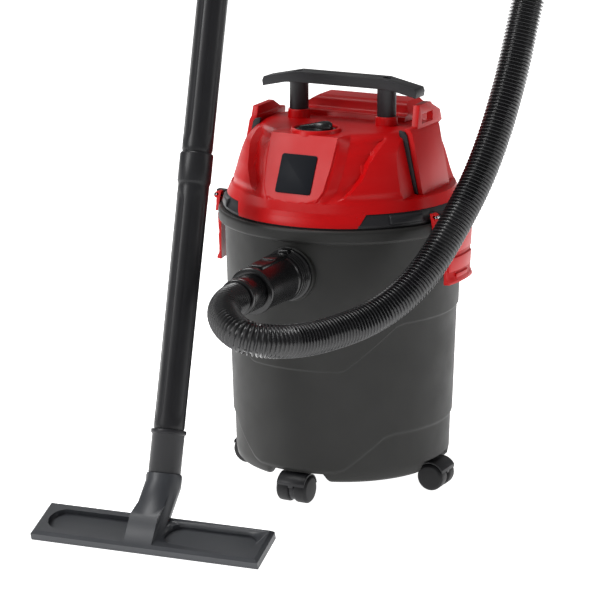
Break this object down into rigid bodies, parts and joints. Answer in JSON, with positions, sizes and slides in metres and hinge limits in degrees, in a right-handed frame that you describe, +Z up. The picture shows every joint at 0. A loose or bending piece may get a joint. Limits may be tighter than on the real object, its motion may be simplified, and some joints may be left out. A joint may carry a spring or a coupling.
{
  "type": "shop vacuum",
  "caption": "Wet and dry shop vacuum: drum on swivel casters, latched motor head with carry handle, corrugated hose, wand tubes and floor nozzle.",
  "frame": {"origin": "on the floor under the middle of the tank", "axes": "+Z up; the hose inlet faces -Y and the blower outlet faces +Y; +X is the right side seen from behind the inlet side looking along +Y"},
  "size_m": [0.4796, 0.5716, 0.9985],
  "materials": {
    "red_shell": "satin gloss moulded ABS",
    "tank_plastic": "fine-textured moulded polypropylene",
    "gloss_black": "polished moulded ABS",
    "satin_black": "satin moulded plastic",
    "tube_black": "satin extruded and moulded plastic",
    "nozzle_grey": "textured moulded plastic",
    "hose_black": "corrugated flexible plastic",
    "seal_rubber": "soft rubber",
    "wheel_rubber": "hard moulded wheel plastic",
    "zinc_steel": "bright zinc plated",
    "motor_steel": "laminated steel",
    "fan_aluminium": "pressed aluminium",
    "foam": "open-cell foam",
    "float_white": "natural polypropylene",
    "label_black": "blank printed film"
  },
  "bodies": {
    "root": {"tank": "tank_plastic", "inlet_gasket": "seal_rubber", "inlet_socket": "gloss_black", "inlet_nut": "satin_black", "hose_cuff": "gloss_black", "hose": "hose_black", "hose_end_cuff": "satin_black", "handle_tube": "tube_black", "wand_upper": "tube_black", "wand_lower": "tube_black", "neck_adapter": "tube_black", "nozzle_body": "nozzle_grey", "nozzle_front_strip": "seal_rubber", "nozzle_rear_strip": "seal_rubber"},
    "head": {"head_base": "satin_black", "head_seal": "seal_rubber", "head_cover": "red_shell", "side_wing_left": "red_shell", "side_wing_right": "red_shell", "badge_plate": "label_black", "switch_block": "satin_black", "carry_handle": "satin_black", "carry_handle_screws": "zinc_steel", "cover_screws": "zinc_steel", "blow_port": "satin_black", "cable_gland": "seal_rubber", "motor_gasket": "seal_rubber", "motor_housing": "satin_black", "motor_stator": "motor_steel", "motor_bearings": "zinc_steel", "filter_cage": "satin_black", "foam_filter": "foam", "latch_pins_left": "zinc_steel", "latch_pins_right": "zinc_steel"},
    "latch_left": {"latch_left": "red_shell"},
    "latch_right": {"latch_right": "red_shell"},
    "switch": {"switch_knob": "satin_black"},
    "rotor": {"motor_rotor": "motor_steel", "impeller": "fan_aluminium"},
    "float": {"filter_float": "float_white"},
    "connector": {"hose_connector": "gloss_black"},
    "button": {"release_button": "gloss_black"},
    "regulator": {"air_regulator": "satin_black"},
    "caster_front": {"caster_housing_front": "satin_black", "caster_axle_front": "zinc_steel"},
    "wheels_front": {"caster_wheels_front": "wheel_rubber"},
    "caster_right": {"caster_housing_right": "satin_black", "caster_axle_right": "zinc_steel"},
    "wheels_right": {"caster_wheels_right": "wheel_rubber"},
    "caster_back": {"caster_housing_back": "satin_black", "caster_axle_back": "zinc_steel"},
    "wheels_back": {"caster_wheels_back": "wheel_rubber"},
    "caster_left": {"caster_housing_left": "satin_black", "caster_axle_left": "zinc_steel"},
    "wheels_left": {"caster_wheels_left": "wheel_rubber"}
  },
  "joints": [
    {"name": "head_lift", "type": "slide", "parent": "root", "child": "head", "axis": [0, 0, 1], "range_m": [0, 0.2]},
    {"name": "latch_right_swing", "type": "hinge", "parent": "head", "child": "latch_right", "pos_m": [0.154, 0, 0.364], "axis": [0, -1, 0], "range_deg": [0, 12]},
    {"name": "latch_left_swing", "type": "hinge", "parent": "head", "child": "latch_left", "pos_m": [-0.154, 0, 0.364], "axis": [0, 1, 0], "range_deg": [0, 12]},
    {"name": "switch_turn", "type": "hinge", "parent": "head", "child": "switch", "pos_m": [0, -0.0785, 0.462], "axis": [0, 0, -1], "range_deg": [0, 90]},
    {"name": "rotor_spin", "type": "hinge", "parent": "head", "child": "rotor", "pos_m": [0, 0, 0.4], "axis": [0, 0, 1], "continuous": true},
    {"name": "float_rise", "type": "slide", "parent": "head", "child": "float", "axis": [0, 0, 1], "range_m": [0, 0.045]},
    {"name": "connector_twist", "type": "hinge", "parent": "root", "child": "connector", "pos_m": [0, -0.21, 0.297], "axis": [0, -1, 0], "range_deg": [0, 25]},
    {"name": "button_press", "type": "slide", "parent": "connector", "child": "button", "axis": [0, 0, -1], "range_m": [0, 0.002], "stiffness_N_per_m": 500, "springref_m": -0.0005},
    {"name": "regulator_turn", "type": "hinge", "parent": "root", "child": "regulator", "pos_m": [-0.13044, -0.06578, 0.77709], "axis": [-0.0617, 0.3364, 0.9397], "range_deg": [0, 90]},
    {"name": "caster_front_swivel", "type": "hinge", "parent": "root", "child": "caster_front", "pos_m": [0, -0.118, 0.045], "axis": [0, 0, 1], "continuous": true},
    {"name": "wheels_front_roll", "type": "hinge", "parent": "caster_front", "child": "wheels_front", "pos_m": [0, -0.132, 0.0175], "axis": [1, 0, 0], "continuous": true},
    {"name": "caster_right_swivel", "type": "hinge", "parent": "root", "child": "caster_right", "pos_m": [0.118, 0, 0.045], "axis": [0, 0, 1], "continuous": true},
    {"name": "wheels_right_roll", "type": "hinge", "parent": "caster_right", "child": "wheels_right", "pos_m": [0.132, 0, 0.0175], "axis": [0, 1, 0], "continuous": true},
    {"name": "caster_back_swivel", "type": "hinge", "parent": "root", "child": "caster_back", "pos_m": [0, 0.118, 0.045], "axis": [0, 0, 1], "continuous": true},
    {"name": "wheels_back_roll", "type": "hinge", "parent": "caster_back", "child": "wheels_back", "pos_m": [0, 0.132, 0.0175], "axis": [1, 0, 0], "continuous": true},
    {"name": "caster_left_swivel", "type": "hinge", "parent": "root", "child": "caster_left", "pos_m": [-0.118, 0, 0.045], "axis": [0, 0, 1], "continuous": true},
    {"name": "wheels_left_roll", "type": "hinge", "parent": "caster_left", "child": "wheels_left", "pos_m": [-0.132, 0, 0.0175], "axis": [0, 1, 0], "continuous": true}
  ]
}
